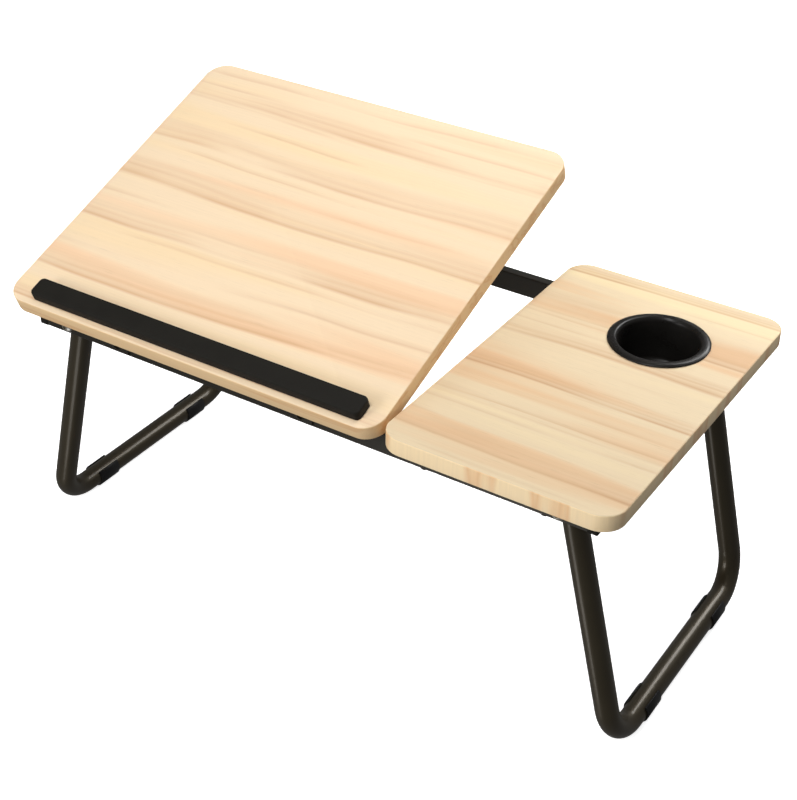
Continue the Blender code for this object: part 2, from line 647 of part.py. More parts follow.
def build():
    side = side_board()
    rails = {end: rail(end, sign) for end, sign in ENDS.items()}
    side_board_screws(side, rails)
    cup_holder()
    rail_plugs()
    stop_bars()
    track_bars()
    for name, x_sign in SIDES.items():
        leg(name, x_sign)
    tilt_axis = axis_empty("tilt_axis", (0.0, HINGE_Y, HINGE_Z), (TILT, 0.0, 0.0))
    reading = tilt_board(tilt_axis)
    book_ledge(tilt_axis, reading)
    for name, x in HINGE_XS.items():
        hinge(tilt_axis, name, x, reading)
    prop(tilt_axis, reading)


for old in list(bpy.data.objects):
    bpy.data.objects.remove(old, do_unlink=True)
PARTS = collection("folding_tray_table")
HELPERS = collection("folding_tray_table_helpers")
WOOD = finish("pale_wood_laminate", (0.90, 0.76, 0.55), 0.45)
BLACK_STEEL = finish("black_powder_coat", (0.02, 0.02, 0.02), 0.5, 0.3)
BRONZE = finish("dark_bronze_powder_coat", (0.035, 0.03, 0.024), 0.35, 0.6)
PLASTIC = finish("black_plastic", (0.02, 0.019, 0.018), 0.55)
RUBBER = finish("black_rubber", (0.015, 0.015, 0.015), 0.75)
NYLON = finish("white_nylon", (0.75, 0.74, 0.70), 0.5)
ZINC = finish("zinc_plated_steel", (0.62, 0.63, 0.64), 0.35, 1.0)
build()
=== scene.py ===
"""Looks for the folding tray table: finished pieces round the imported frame, a plain studio and the camera.

Metres, in the frame's own coordinates: +X to the user's right, +Y away from the user, +Z up, floor at z = 0.
"""

import json
import math

import bmesh
import bpy
from mathutils import Matrix, Vector

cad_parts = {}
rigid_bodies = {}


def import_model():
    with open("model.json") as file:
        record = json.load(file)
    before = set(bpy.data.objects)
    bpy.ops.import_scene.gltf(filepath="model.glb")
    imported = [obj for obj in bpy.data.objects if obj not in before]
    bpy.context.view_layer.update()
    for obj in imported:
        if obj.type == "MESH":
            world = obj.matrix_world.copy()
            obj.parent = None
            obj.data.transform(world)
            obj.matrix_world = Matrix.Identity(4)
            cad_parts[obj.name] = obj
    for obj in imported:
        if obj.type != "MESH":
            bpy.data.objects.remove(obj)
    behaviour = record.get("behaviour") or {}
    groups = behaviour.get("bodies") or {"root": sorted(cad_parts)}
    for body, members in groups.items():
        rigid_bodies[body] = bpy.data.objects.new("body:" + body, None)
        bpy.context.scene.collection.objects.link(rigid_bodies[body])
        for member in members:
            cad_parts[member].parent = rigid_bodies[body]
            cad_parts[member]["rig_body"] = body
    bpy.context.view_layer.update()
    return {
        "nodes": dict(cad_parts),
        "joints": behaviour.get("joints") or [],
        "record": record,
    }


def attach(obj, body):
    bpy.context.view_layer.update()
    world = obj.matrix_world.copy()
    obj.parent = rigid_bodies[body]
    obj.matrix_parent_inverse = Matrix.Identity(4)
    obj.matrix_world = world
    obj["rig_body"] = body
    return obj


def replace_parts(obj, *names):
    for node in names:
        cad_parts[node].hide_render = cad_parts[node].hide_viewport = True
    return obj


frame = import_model()

GAP = 0.0003                    # the gap between neighbouring pieces
CLEAR = 0.002                   # how far a cutter stands out of what it cuts

# Sizes that the frame's boxes don't give
CORNER_RADIUS = 0.020           # boards, seen from above
ARRIS = 0.0011                  # rounding along the boards' edges
LEDGE_CORNER = 0.0045
LEDGE_ARRIS = 0.0016
CUP_HOLE_RADIUS = 0.0372
LEG_RADIUS = 0.010
LEG_WALL = 0.0012
LEG_Y = 0.1265                  # half distance between a leg's uprights
LEG_BEND = 0.035                # radius of the tube's centre line in the bends
LEG_TOP = 0.0045                # tube above the pivot
BOLT_RADIUS = 0.003
BOLT_HEAD_HEIGHT = 0.0035
SOLE_DROP = 0.011               # sole below the tube's centre line
SLEEVE_OPENING = math.pi / 4    # half the angle that a foot sleeve leaves open at the top
STOP_BAR_RADIUS = 0.005
TRACK_THICKNESS = 0.0020        # of the slotted angles
PIVOT_ROD_RADIUS = 0.0025
FOOT_ROD_RADIUS = 0.003
ARM_HALF_WIDTH = 0.0045
LEDGE_RECESS = 0.0026           # counterbore of the ledge's screws
SCREW_SHANKS = {"side_board": 0.0020, "ledge": 0.0016, "prop_bracket": 0.0014}
SCREW_HEAD_HEIGHTS = {"side_board": 0.0024, "ledge": 0.0022, "prop_bracket": 0.0018}
THREAD_PITCH = 0.0009
THREAD_DEPTH = 0.00022

SIDES = ("left", "right")
ENDS = {"front": -1, "rear": 1}
STAY = Matrix.Identity(4)
X_FOR_Z = Matrix.Rotation(math.pi / 2, 4, "Y")        # turns a piece's own +Z to +X
Y_FOR_Z = Matrix.Rotation(-math.pi / 2, 4, "X")       # turns it to +Y
MINUS_Y_FOR_Z = Matrix.Rotation(math.pi / 2, 4, "X")  # turns it to -Y

JOINTS = {joint["name"]: joint for joint in frame["joints"]}
MOUNTS = {mount["name"]: mount for mount in frame["record"]["mounts"]}


def tilted_frame():
    """Places the flat reading board's coordinates: at the tilt axis, turned as far as the ledge is."""
    _, axis_y, axis_z = JOINTS["board_tilt"]["pos_m"]
    _, face_y, face_z = MOUNTS["ledge_face"]["axis"]
    tilt = math.atan2(face_z, face_y)
    return Matrix.Translation((0.0, axis_y, axis_z)) @ Matrix.Rotation(tilt, 4, "X")


READING = tilted_frame()


# ------------------------------------------------------------------ shader graphs

def tone(red, green, blue):
    """A display colour, 0 to 255, as linear light."""
    shares = [value / 255 for value in (red, green, blue)]
    return tuple(s / 12.92 if s <= 0.04045 else ((s + 0.055) / 1.055) ** 2.4 for s in shares)


def blank(name, colour, roughness, metallic=0.0, coat=0.0, coat_roughness=0.1):
    """A new material and its shader."""
    material = bpy.data.materials.new(name)
    material.use_nodes = True
    shader = material.node_tree.nodes["Principled BSDF"]
    shader.inputs["Base Color"].default_value = (*colour, 1.0)
    shader.inputs["Roughness"].default_value = roughness
    shader.inputs["Metallic"].default_value = metallic
    shader.inputs["Coat Weight"].default_value = coat
    shader.inputs["Coat Roughness"].default_value = coat_roughness
    return material, shader


def node(tree, kind, inputs, **settings):
    """A node with its settings, and its inputs set or linked."""
    made = tree.nodes.new(kind)
    for key, value in settings.items():
        setattr(made, key, value)
    for socket, value in inputs.items():
        if isinstance(value, bpy.types.NodeSocket):
            tree.links.new(value, made.inputs[socket])
        else:
            made.inputs[socket].default_value = value
    return made


def own_place(tree):
    return node(tree, "ShaderNodeTexCoord", {}).outputs["Object"]


def noise(tree, place, scale, offset=0.0, detail=2.0):
    """Noise at a scale per metre, which may differ from axis to axis."""
    spread = scale if isinstance(scale, tuple) else (scale, scale, scale)
    mapping = node(tree, "ShaderNodeMapping", {"Vector": place, "Scale": spread, "Location": (offset,) * 3})
    made = node(tree, "ShaderNodeTexNoise", {"Vector": mapping.outputs[0], "Scale": 1.0, "Detail": detail})
    return made.outputs["Fac"]


def ramp(tree, factor, *stops):
    """Colours or shades at places from 0 to 1."""
    made = node(tree, "ShaderNodeValToRGB", {"Fac": factor})
    elements = made.color_ramp.elements
    while len(elements) < len(stops):
        elements.new(0.5)
    for element, (place, value) in zip(elements, stops):
        element.position = place
        element.color = (*value, 1.0) if isinstance(value, tuple) else (value, value, value, 1.0)
    return made.outputs["Color"]


def mix(tree, factor, first, second, blend="MIX"):
    made = tree.nodes.new("ShaderNodeMix")
    made.data_type = "RGBA"
    made.blend_type = blend
    for socket, value in ((made.inputs[0], factor), (made.inputs[6], first), (made.inputs[7], second)):
        if isinstance(value, bpy.types.NodeSocket):
            tree.links.new(value, socket)
        else:
            socket.default_value = (*value, 1.0) if isinstance(value, tuple) else value
    return made.outputs[2]


def multiply_add(tree, value, factor, added):
    return node(tree, "ShaderNodeMath", {0: value, 1: factor, 2: added}, operation="MULTIPLY_ADD").outputs[0]


def bump(tree, shader, height, distance):
    made = node(tree, "ShaderNodeBump", {"Height": height, "Distance": distance, "Strength": 1.0})
    tree.links.new(made.outputs["Normal"], shader.inputs["Normal"])


def rough_between(tree, shader, factor, low, high):
    """Roughness that follows a pattern."""
    spread = node(tree, "ShaderNodeMapRange", {"Value": factor, "From Min": 0.3, "From Max": 0.7,
                                               "To Min": low, "To Max": high})
    tree.links.new(spread.outputs["Result"], shader.inputs["Roughness"])


# ------------------------------------------------------------------ materials

def wood_face(name, seed, cream, peach, yellow, streak):
    """Printed laminate: soft bands along X, and bunches of darker lines that wander a little.

    A bunch has its darkest line wherever the count of bunches across the board reaches a whole number.
    """
    bunches_per_metre, first_bunch, uneven, waver = 18.0, 0.3, 1.3, 0.34
    material, shader = blank(name, cream, 0.56)
    shader.inputs["Specular IOR Level"].default_value = 0.10
    tree = material.node_tree
    place = own_place(tree)
    across = node(tree, "ShaderNodeSeparateXYZ", {0: place}).outputs["Y"]
    spacing = noise(tree, place, (0.4, 11.0, 1.0), seed, detail=1.0)
    wander = noise(tree, place, (3.5, 6.0, 1.0), seed + 31.0, detail=2.0)
    field = multiply_add(tree, across, bunches_per_metre, seed)
    field = multiply_add(tree, spacing, uneven, field)
    field = multiply_add(tree, wander, waver, field)

    bands = noise(tree, place, (1.4, 26.0, 1.0), seed + 3.1, detail=2.0)
    colour = ramp(tree, bands, (0.34, peach), (0.45, cream), (0.55, cream), (0.66, yellow))
    fade = noise(tree, place, (5.5, 20.0, 1.0), seed + 7.7, detail=1.5)
    strong = ((0.0, 0.72), (0.04, 0.40), (0.08, 0.24), (0.12, 0.44), (0.17, 0.20), (0.23, 0.26), (0.36, 0.0),
              (0.95, 0.0), (1.0, 0.72))
    weak = ((0.0, 0.40), (0.08, 0.20), (0.26, 0.0), (0.90, 0.0), (1.0, 0.40))
    where_strong, where_weak = ((0.38, 0.12), (0.60, 1.0)), ((0.36, 1.0), (0.54, 0.0))
    for lines, stops, strength in ((1.0, strong, where_strong), (2.6, weak, where_weak)):
        count = multiply_add(tree, field, lines, first_bunch * lines)
        saw = node(tree, "ShaderNodeMath", {0: count}, operation="FRACT").outputs[0]
        share = mix(tree, 1.0, ramp(tree, saw, *stops), ramp(tree, fade, *strength), "MULTIPLY")
        colour = mix(tree, share, colour, streak)

    fine = noise(tree, place, (9.0, 620.0, 1.0), seed + 17.9, detail=2.0)
    colour = mix(tree, 1.0, colour, ramp(tree, fine, (0.30, 0.965), (0.70, 1.0)), "MULTIPLY")
    pores = noise(tree, place, (55.0, 1500.0, 1.0), seed + 23.0, detail=1.0)
    colour = mix(tree, 1.0, colour, ramp(tree, pores, (0.24, 0.90), (0.33, 1.0)), "MULTIPLY")
    tree.links.new(colour, shader.inputs["Base Color"])
    rough_between(tree, shader, fine, 0.52, 0.62)
    bump(tree, shader, fine, 0.00003)
    return material


def wood_edge(name, seed, cream, peach, strip_scale, fibre_scale):
    """Edge banding: the same print in narrow strips, which run the way that their scale is smallest."""
    material, shader = blank(name, cream, 0.45)
    tree = material.node_tree
    place = own_place(tree)
    strips = noise(tree, place, strip_scale, seed, detail=1.5)
    colour = ramp(tree, strips, (0.38, cream), (0.50, cream), (0.60, peach), (0.70, cream))
    fibres = noise(tree, place, fibre_scale, seed + 4.0, detail=2.0)
    colour = mix(tree, 1.0, colour, ramp(tree, fibres, (0.30, 0.94), (0.70, 1.0)), "MULTIPLY")
    tree.links.new(colour, shader.inputs["Base Color"])
    rough_between(tree, shader, fibres, 0.40, 0.52)
    bump(tree, shader, fibres, 0.00003)
    return material


def chipboard():
    """The boards' core, seen in the holes cut in them."""
    material, shader = blank("chipboard", tone(176, 142, 98), 0.85)
    tree = material.node_tree
    place = own_place(tree)
    chips = node(tree, "ShaderNodeTexVoronoi", {"Vector": place, "Scale": 620.0})
    colour = ramp(tree, chips.outputs["Color"], (0.0, tone(128, 98, 62)), (0.5, tone(186, 152, 108)),
                  (1.0, tone(214, 186, 144)))
    tree.links.new(colour, shader.inputs["Base Color"])
    bump(tree, shader, chips.outputs["Distance"], 0.0003)
    return material


def powder_coat(name, colour, roughness, spread, coat=0.0, gleam=(1.0, 1.0, 1.0)):
    """Baked powder: a shallow orange-peel skin, uneven in colour and gloss. gleam tints its shine."""
    material, shader = blank(name, colour, roughness, coat=coat, coat_roughness=0.16)
    shader.inputs["Specular IOR Level"].default_value = 0.35
    shader.inputs["Specular Tint"].default_value = (*gleam, 1.0)
    tree = material.node_tree
    place = own_place(tree)
    cloud = noise(tree, place, 26.0, 5.0, detail=2.0)
    shade = ramp(tree, cloud, (0.15, colour), (0.85, tuple(value * 1.3 for value in colour)))
    tree.links.new(shade, shader.inputs["Base Color"])
    rough_between(tree, shader, cloud, roughness - spread, roughness + spread)
    bump(tree, shader, noise(tree, place, 900.0, detail=0.0), 0.000003)
    return material


def moulded(name, colour, roughness, grain=1500.0, depth=0.00005):
    """Moulded plastic or rubber with a fine texture from its mould."""
    material, shader = blank(name, colour, roughness)
    shader.inputs["Specular IOR Level"].default_value = 0.15
    tree = material.node_tree
    place = own_place(tree)
    texture = noise(tree, place, grain, detail=2.0)
    cloud = noise(tree, place, 60.0, 3.0, detail=2.0)
    tree.links.new(ramp(tree, cloud, (0.30, colour), (0.75, tuple(value * 1.25 for value in colour))),
                   shader.inputs["Base Color"])
    rough_between(tree, shader, cloud, roughness - 0.05, roughness + 0.06)
    bump(tree, shader, texture, depth)
    return material


def zinc_plate(name, shade):
    """Zinc plating with a faint cloud and fine drawing marks. A shade of 1 is bright zinc."""
    material, shader = blank(name, (0.44 * shade, 0.43 * shade, 0.40 * shade), 0.36, metallic=1.0)
    tree = material.node_tree
    place = own_place(tree)
    cloud = noise(tree, place, 180.0, detail=3.0)
    low, middle, high = [tuple(value * shade for value in colour) for colour in
                         ((0.38, 0.37, 0.36), (0.46, 0.44, 0.40), (0.50, 0.46, 0.37))]
    colour = ramp(tree, cloud, (0.30, low), (0.55, middle), (0.75, high))
    tree.links.new(colour, shader.inputs["Base Color"])
    rough_between(tree, shader, cloud, 0.24, 0.42)
    bump(tree, shader, noise(tree, place, (300.0, 4200.0, 4200.0), 2.0), 0.00002)
    return material


# The boards' printed wood: its cream ground, its peach and yellow bands, and its dark lines
READING_PRINT = (tone(241, 217, 184), tone(241, 206, 169), tone(242, 216, 177), tone(210, 163, 120))
# The side board's print is the reading board's print in deeper tones. That darkening is painted shade, which
# makes its top read darker than the reading board's under the same lamps.
SIDE_PRINT_SHADED = (tone(220, 200, 167), tone(217, 183, 145), tone(227, 208, 169), tone(186, 141, 104))
LOOKS = {
    "reading_face": wood_face("reading_board_laminate", 1.0, *READING_PRINT),
    "side_face": wood_face("side_board_laminate", 6.4, *SIDE_PRINT_SHADED),
    "reading_edge": wood_edge("reading_edge_band", 2.0, tone(240, 205, 156), tone(230, 186, 134),
                              (4.0, 70.0, 160.0), (14.0, 900.0, 900.0)),
    "side_edge": wood_edge("side_edge_band", 6.0, tone(252, 225, 180), tone(240, 196, 146),
                           (46.0, 46.0, 9.0), (420.0, 420.0, 24.0)),
    "core": chipboard(),
    "black_steel": powder_coat("black_powder_coat", (0.012, 0.011, 0.009), 0.42, 0.06,
                               gleam=(1.0, 0.90, 0.76)),
    "bronze": powder_coat("bronze_powder_coat", (0.020, 0.016, 0.009), 0.42, 0.04, coat=0.2,
                          gleam=(1.0, 0.84, 0.60)),
    "plastic": moulded("black_plastic", (0.010, 0.009, 0.007), 0.66),
    "cup_plastic": moulded("cup_plastic", (0.010, 0.009, 0.008), 0.30, grain=900.0, depth=0.00001),
    "rubber": moulded("black_rubber", (0.010, 0.010, 0.010), 0.45, grain=1100.0, depth=0.00003),
    "nylon": moulded("natural_nylon", (0.70, 0.69, 0.64), 0.45),
    "zinc": zinc_plate("zinc_plate", 1.0),
    "black_zinc": zinc_plate("black_zinc_plate", 0.10),
    "weld": powder_coat("coated_weld", (0.026, 0.025, 0.024), 0.45, 0.05),
}


# ------------------------------------------------------------------ meshes

def to_mesh(name, body):
    """The finished bmesh, with its faces pointing out."""
    bmesh.ops.recalc_face_normals(body, faces=body.faces)
    mesh = bpy.data.meshes.new(name)
    body.to_mesh(mesh)
    body.free()
    return mesh


def smooth(mesh, angle=35):
    mesh.shade_smooth()
    mesh.set_sharp_from_angle(angle=math.radians(angle))
    return mesh


def skin(body, rings, closed=False):
    """Faces between rings of vertices. A ring of one vertex is a point."""
    pairs = list(zip(rings, rings[1:]))
    if closed:
        pairs.append((rings[-1], rings[0]))
    for first, second in pairs:
        count = max(len(first), len(second))
        for i in range(count):
            j = (i + 1) % count
            corners = [first[i % len(first)], first[j % len(first)], second[j % len(second)],
                       second[i % len(second)]]
            body.faces.new(list(dict.fromkeys(corners)))


def fillet(points, radius, steps=4, closed=False):
    """The points of an outline with each corner rounded."""
    rounded = []
    for i, point in enumerate(points):
        here = Vector(point)
        if not closed and i in (0, len(points) - 1):
            rounded.append(here)
            continue
        before = Vector(points[i - 1]) - here
        after = Vector(points[(i + 1) % len(points)]) - here
        reach = min(radius, 0.45 * before.length, 0.45 * after.length)
        start, end = here + before.normalized() * reach, here + after.normalized() * reach
        for step in range(steps + 1):
            t = step / steps
            rounded.append(start * (1 - t) ** 2 + here * 2 * t * (1 - t) + end * t ** 2)
    return [tuple(point) for point in rounded]


def lathe(name, points, sides, closed=False, lobes=None):
    """Turns (radius, height) points about Z. lobes(angle, radius) may scale the radius."""
    body = bmesh.new()
    rings = []
    for radius, height in points:
        if radius < 1e-7:
            rings.append([body.verts.new((0.0, 0.0, height))])
            continue
        ring = []
        for i in range(sides):
            angle = math.tau * i / sides
            reach = radius * (lobes(angle, radius) if lobes else 1.0)
            ring.append(body.verts.new((reach * math.cos(angle), reach * math.sin(angle), height)))
        rings.append(ring)
    skin(body, rings, closed)
    return smooth(to_mesh(name, body))


def pipe(name, path, radius, side, sides, wall=0.0, swell=None):
    """A tube along a flat path. side is square to the path's plane. With a wall it is open at its ends."""
    body = bmesh.new()
    side = Vector(side)
    path = [Vector(point) for point in path]

    def ring_at(i, reach):
        before, after = path[max(i - 1, 0)], path[min(i + 1, len(path) - 1)]
        across = (after - before).normalized().cross(side)
        made = []
        for step in range(sides):
            angle = math.tau * step / sides
            made.append(body.verts.new(path[i] + reach * (math.cos(angle) * side + math.sin(angle) * across)))
        return made

    outer = [ring_at(i, radius * (swell(i) if swell else 1.0)) for i in range(len(path))]
    if wall:
        inner = [ring_at(i, radius - wall) for i in range(len(path))]
        skin(body, outer + inner[::-1], closed=True)
    else:
        skin(body, outer)
        body.faces.new(outer[0])
        body.faces.new(outer[-1])
    return smooth(to_mesh(name, body))


def slab(name, low, high, corner, top_arris, bottom_arris, corner_steps=14, arris_steps=4):
    """A flat piece with round corners seen from above, and its top and bottom edges rounded."""
    def ring(inset, height):
        radius = max(corner - inset, 0.00005)
        points = []
        for turn, (x, y) in enumerate(((high.x, high.y), (low.x, high.y), (low.x, low.y), (high.x, low.y))):
            inwards = (-1 if x == high.x else 1, -1 if y == high.y else 1)
            centre = (x + inwards[0] * (inset + radius), y + inwards[1] * (inset + radius))
            for step in range(corner_steps + 1):
                angle = math.pi / 2 * (turn + step / corner_steps)
                points.append((centre[0] + radius * math.cos(angle), centre[1] + radius * math.sin(angle)))
        return [body.verts.new((x, y, height)) for x, y in points]

    body = bmesh.new()
    quarter = [math.pi / 2 * step / arris_steps for step in range(arris_steps + 1)]
    rings = [ring(bottom_arris * (1 - math.sin(turn)), low.z + bottom_arris * (1 - math.cos(turn)))
             for turn in quarter]
    rings += [ring(top_arris * (1 - math.cos(turn)), high.z - top_arris * (1 - math.sin(turn)))
              for turn in quarter]
    skin(body, rings)
    body.faces.new(rings[0])
    body.faces.new(rings[-1])
    return smooth(to_mesh(name, body), 50)


def brick(name, low, high):
    body = bmesh.new()
    size = Vector(high) - Vector(low)
    middle = Matrix.Translation((Vector(low) + Vector(high)) / 2)
    bmesh.ops.create_cube(body, size=1.0, matrix=middle @ Matrix.Diagonal((*size, 1.0)))
    return to_mesh(name, body)


def drill(radius, start, end, sides=48):
    """A round cutter between two points."""
    start, end = Vector(start), Vector(end)
    run = end - start
    body = bmesh.new()
    turn = Vector((0, 0, 1)).rotation_difference(run).to_matrix().to_4x4()
    place = Matrix.Translation((start + end) / 2) @ turn
    bmesh.ops.create_cone(body, cap_ends=True, segments=sides, radius1=radius, radius2=radius,
                          depth=run.length, matrix=place)
    return to_mesh("drill", body)


def cut(mesh, *cutters):
    """The mesh with the cutters taken away, all in the same coordinates."""
    name = mesh.name
    target = bpy.data.objects.new("cut", mesh)
    helpers = [bpy.data.objects.new("cutter", cutter) for cutter in cutters]
    for obj in (target, *helpers):
        bpy.context.scene.collection.objects.link(obj)
    for cutter in helpers:
        modifier = target.modifiers.new("cut", "BOOLEAN")
        modifier.operation = "DIFFERENCE"
        modifier.solver = "EXACT"
        modifier.object = cutter
    graph = bpy.context.evaluated_depsgraph_get()
    made = bpy.data.meshes.new_from_object(target.evaluated_get(graph))
    for obj in (target, *helpers):
        bpy.data.objects.remove(obj, do_unlink=True)
    made.name = name
    return made


def finished(name, mesh, look, cad_node, place):
    """A piece that stands for a CAD node: it takes its body, and hides the node."""
    piece = extra(name, mesh, look, frame["nodes"][cad_node]["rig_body"], place)
    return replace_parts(piece, cad_node)


def extra(name, mesh, look, body, place=STAY):
    """A piece on a body that stands for no CAD node."""
    piece = bpy.data.objects.new(name, mesh)
    bpy.context.scene.collection.objects.link(piece)
    piece.matrix_world = place
    if not mesh.materials:
        mesh.materials.append(LOOKS[look])
    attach(piece, body)
    return piece


def box_in(cad_node, place=STAY):
    """Lowest and highest corner of a CAD node in the coordinates of a placement."""
    back = place.inverted()
    points = [back @ vert.co for vert in frame["nodes"][cad_node].data.vertices]
    low = Vector([min(point[i] for point in points) for i in range(3)])
    high = Vector([max(point[i] for point in points) for i in range(3)])
    return low, high


def softened(cad_node, look, arris, place=STAY):
    """The CAD node's own shape with its sharp edges rounded by the width given."""
    back = place.inverted()
    source = frame["nodes"][cad_node].data
    body = bmesh.new()
    corners = [body.verts.new(back @ vert.co) for vert in source.vertices]
    for polygon in source.polygons:
        body.faces.new([corners[i] for i in polygon.vertices])
    bmesh.ops.remove_doubles(body, verts=body.verts, dist=0.00002)
    bmesh.ops.dissolve_limit(body, angle_limit=math.radians(1.0), verts=body.verts, edges=body.edges)
    mesh = to_mesh(f"{cad_node}_soft", body)
    mesh.shade_smooth()
    piece = finished(f"{cad_node}_piece", mesh, look, cad_node, place)
    bevel = piece.modifiers.new("arris", "BEVEL")
    bevel.width = arris
    bevel.segments = 2
    bevel.limit_method = "ANGLE"
    bevel.angle_limit = math.radians(42)
    normals = piece.modifiers.new("normals", "WEIGHTED_NORMAL")
    normals.keep_sharp = False


# ------------------------------------------------------------------ boards

def paint_board(mesh, low, high, face):
    """Laminate on the faces, banding round the rim, and bare core in the holes."""
    for look in (f"{face}_face", f"{face}_edge", "core"):
        mesh.materials.append(LOOKS[look])
    band = ARRIS + 0.0006       # how far in from the rim the banding's faces have their middles
    for polygon in mesh.polygons:
        x, y, z = polygon.center
        inside_x = min(x - low.x, high.x - x)
        inside_y = min(y - low.y, high.y - y)
        corner = Vector((max(CORNER_RADIUS - inside_x, 0.0), max(CORNER_RADIUS - inside_y, 0.0))).length
        from_rim = min(inside_x, inside_y, CORNER_RADIUS - corner if corner > 0 else 1.0)
        on_face = abs(polygon.normal.z) > 0.7 and (z > high.z - ARRIS or z < low.z + ARRIS)
        if on_face:
            polygon.material_index = 0
        elif from_rim < band:
            polygon.material_index = 1
        else:
            polygon.material_index = 2


def screw_bore(cad_node, shank, place):
    """A cutter for a screw's hole, from its lower end to just past its point."""
    low, high = box_in(cad_node, place)
    x, y = (low.x + high.x) / 2, (low.y + high.y) / 2
    return drill(shank + GAP / 2, (x, y, low.z), (x, y, high.z + GAP / 2), sides=24)


def reading_board():
    low, high = box_in("tilt_board", READING)
    cutters = []
    for side in SIDES:
        pocket_low, pocket_high = box_in(f"hinge_block_{side}", READING)
        edge, below = Vector((GAP, GAP, GAP)), Vector((0, 0, CLEAR))
        cutters.append(brick("pocket", pocket_low - edge - below, pocket_high + edge))
        for number in (1, 2):
            cutters.append(screw_bore(f"prop_bracket_{side}_screw_{number}", SCREW_SHANKS["prop_bracket"],
                                      READING))
    for number in (1, 2, 3):
        screw = f"ledge_screw_{number}"
        screw_low, screw_high = box_in(screw, READING)
        x, y = (screw_low.x + screw_high.x) / 2, (screw_low.y + screw_high.y) / 2
        head = (screw_high.x - screw_low.x) / 2 + GAP
        cutters.append(drill(head, (x, y, low.z - CLEAR), (x, y, low.z + LEDGE_RECESS)))
        cutters.append(screw_bore(screw, SCREW_SHANKS["ledge"], READING))
    mesh = cut(slab("reading_board", low, high, CORNER_RADIUS, ARRIS, ARRIS), *cutters)
    paint_board(mesh, low, high, "reading")
    finished("reading_board_panel", smooth(mesh, 50), None, "tilt_board", READING)


def side_board():
    low, high = box_in("side_board")
    centre = Matrix.Translation(((low.x + high.x) / 2, 0.0, high.z))
    low, high = box_in("side_board", centre)
    cup_low, cup_high = box_in("cup_insert", centre)
    cup = (cup_low + cup_high) / 2
    below, above = (cup.x, cup.y, low.z - CLEAR), (cup.x, cup.y, high.z + CLEAR)
    cutters = [drill(CUP_HOLE_RADIUS, below, above, sides=96)]
    for number in (1, 2, 3, 4):
        cutters.append(screw_bore(f"side_board_screw_{number}", SCREW_SHANKS["side_board"], centre))
    mesh = cut(slab("side_board", low, high, CORNER_RADIUS, ARRIS, ARRIS), *cutters)
    paint_board(mesh, low, high, "side")
    finished("side_board_panel", smooth(mesh, 50), None, "side_board", centre)


def ledge():
    low, high = box_in("book_ledge", READING)
    mesh = slab("ledge", low, high, LEDGE_CORNER, LEDGE_ARRIS, LEDGE_ARRIS / 4, corner_steps=8)
    screws = [screw_bore(f"ledge_screw_{number}", SCREW_SHANKS["ledge"], READING) for number in (1, 2, 3)]
    finished("book_ledge_bar", smooth(cut(mesh, *screws), 50), "plastic", "book_ledge", READING)


# ------------------------------------------------------------------ cup holder

def cup_holder():
    """A cup with a domed rim, turned from its profile, and the ring that holds it from below."""
    low, high = box_in("cup_insert")
    rim_radius = (high.x - low.x) / 2
    top = box_in("side_board")[1].z
    crown, depth = high.z - top, top - low.z
    place = Matrix.Translation(((low.x + high.x) / 2, (low.y + high.y) / 2, top))
    floor = 0.0018 - depth
    inside = [(0.0, floor), (0.0306, floor), (0.0336, floor + 0.0032), (0.0343, -0.0060), (0.0350, 0.0002)]
    rim = [(0.0372, crown - 0.0001), (0.0395, crown), (0.0420, crown - 0.0003), (rim_radius, 0.0011),
           (rim_radius, GAP)]
    outside = [(0.0366, GAP), (0.0362, -0.025), (0.0350, 0.0035 - depth), (0.0322, -depth), (0.0, -depth)]
    shell = lathe("cup_holder", fillet(inside + rim + outside, 0.0016, steps=5), sides=128)
    finished("cup_holder_shell", shell, "cup_plastic", "cup_insert", place)

    low, high = box_in("cup_ring")
    place = Matrix.Translation((*((low + high) / 2).xy, low.z))
    inner, outer, height = 0.0369, (high.x - low.x) / 2, high.z - low.z
    outline = fillet([(inner, 0.0), (outer, 0.0), (outer, height), (inner, height)], 0.0006, closed=True)
    ring = lathe("cup_ring", outline, sides=120, closed=True)
    finished("cup_holder_ring", ring, "plastic", "cup_ring", place)


# ------------------------------------------------------------------ frame

def bead_ring(name, radius, size):
    """A weld bead round a bar, with the ripples of its run."""
    outline = fillet([(radius, 0.0), (radius + size, 0.0), (radius + 0.35 * size, 0.55 * size),
                      (radius, size)], size * 0.3, steps=3, closed=True)
    return lathe(name, outline, sides=72, closed=True,
                 lobes=lambda angle, _: 1.0 + 0.018 * math.cos(18 * angle))


def rails_and_bars():
    for end in ENDS:
        softened(f"{end}_rail", "black_steel", arris=0.0003)
        for side in SIDES:
            softened(f"rail_plug_{end}_{side}", "plastic", arris=0.0006)
    for side in SIDES:
        softened(f"track_bar_{side}", "black_steel", arris=0.0004)
        low, high = box_in(f"stop_bar_{side}")
        x, z = (low.x + high.x) / 2, (low.z + high.z) / 2
        half = (high.y - low.y) / 2
        corners = [(0.0, -half), (STOP_BAR_RADIUS, -half), (STOP_BAR_RADIUS, half), (0.0, half)]
        bar = lathe(f"stop_bar_{side}", fillet(corners, 0.0003), sides=40)
        finished(f"stop_bar_{side}_piece", bar, "black_steel", f"stop_bar_{side}",
                 Matrix.Translation((x, 0.0, z)) @ Y_FOR_Z)
        for end, sign in ENDS.items():
            turn = MINUS_Y_FOR_Z if sign > 0 else Y_FOR_Z
            face = Matrix.Translation((x, sign * half, z)) @ turn
            bead = bead_ring("weld", STOP_BAR_RADIUS, 0.0022)
            extra(f"stop_bar_weld_{end}_{side}", bead, "weld", "frame", face)
            track_weld(side, end, sign)


